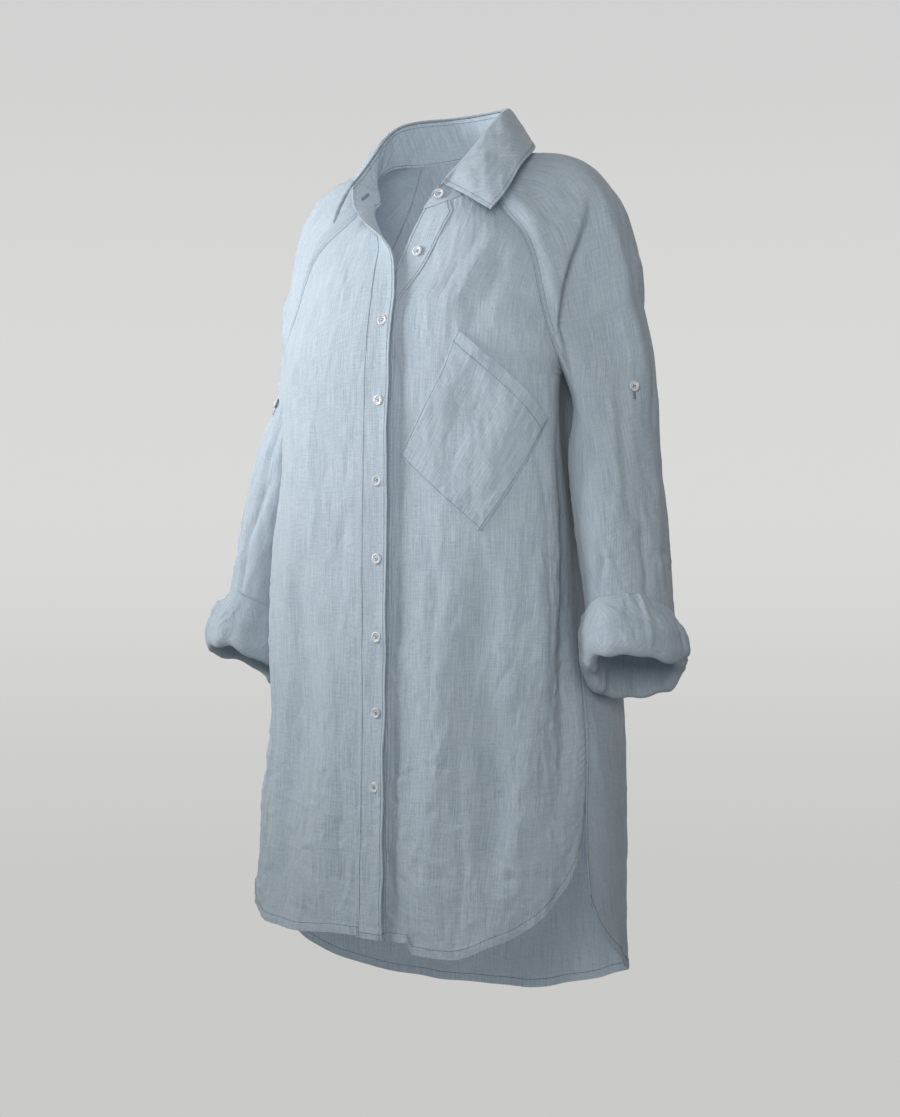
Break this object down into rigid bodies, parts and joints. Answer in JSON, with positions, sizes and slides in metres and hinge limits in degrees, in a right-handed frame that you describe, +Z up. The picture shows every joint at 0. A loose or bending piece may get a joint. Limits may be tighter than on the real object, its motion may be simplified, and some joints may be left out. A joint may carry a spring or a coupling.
{
  "type": "long linen shirt",
  "caption": "Long linen shirt shown filled out: open collar, raglan sleeves with rolled cuffs, diagonal chest pocket, curved shirt-tail hem longer at the back.",
  "frame": {"origin": "between the side points of the neck seam, where the wearer's neck and shoulders hold the shirt", "axes": "+Z up, the shirt faces -Y, the wearer's left is at +X"},
  "size_m": [0.5904, 0.2666, 0.9804],
  "materials": {
    "linen": "pale blue plain-weave linen",
    "button": "pearly white"
  },
  "bodies": {
    "root": {"front_left": "linen", "front_right": "linen", "placket_left": "linen", "placket_right": "linen", "back": "linen", "sleeve_left": "linen", "sleeve_right": "linen", "cuff_left": "linen", "cuff_right": "linen", "collar_stand": "linen", "collar_fall": "linen", "pocket": "linen", "button_1": "button", "button_2": "button", "button_3": "button", "button_4": "button", "button_5": "button", "button_6": "button", "button_7": "button", "button_8": "button", "button_9": "button", "sleeve_button_left": "button", "sleeve_button_right": "button"}
  },
  "joints": []
}
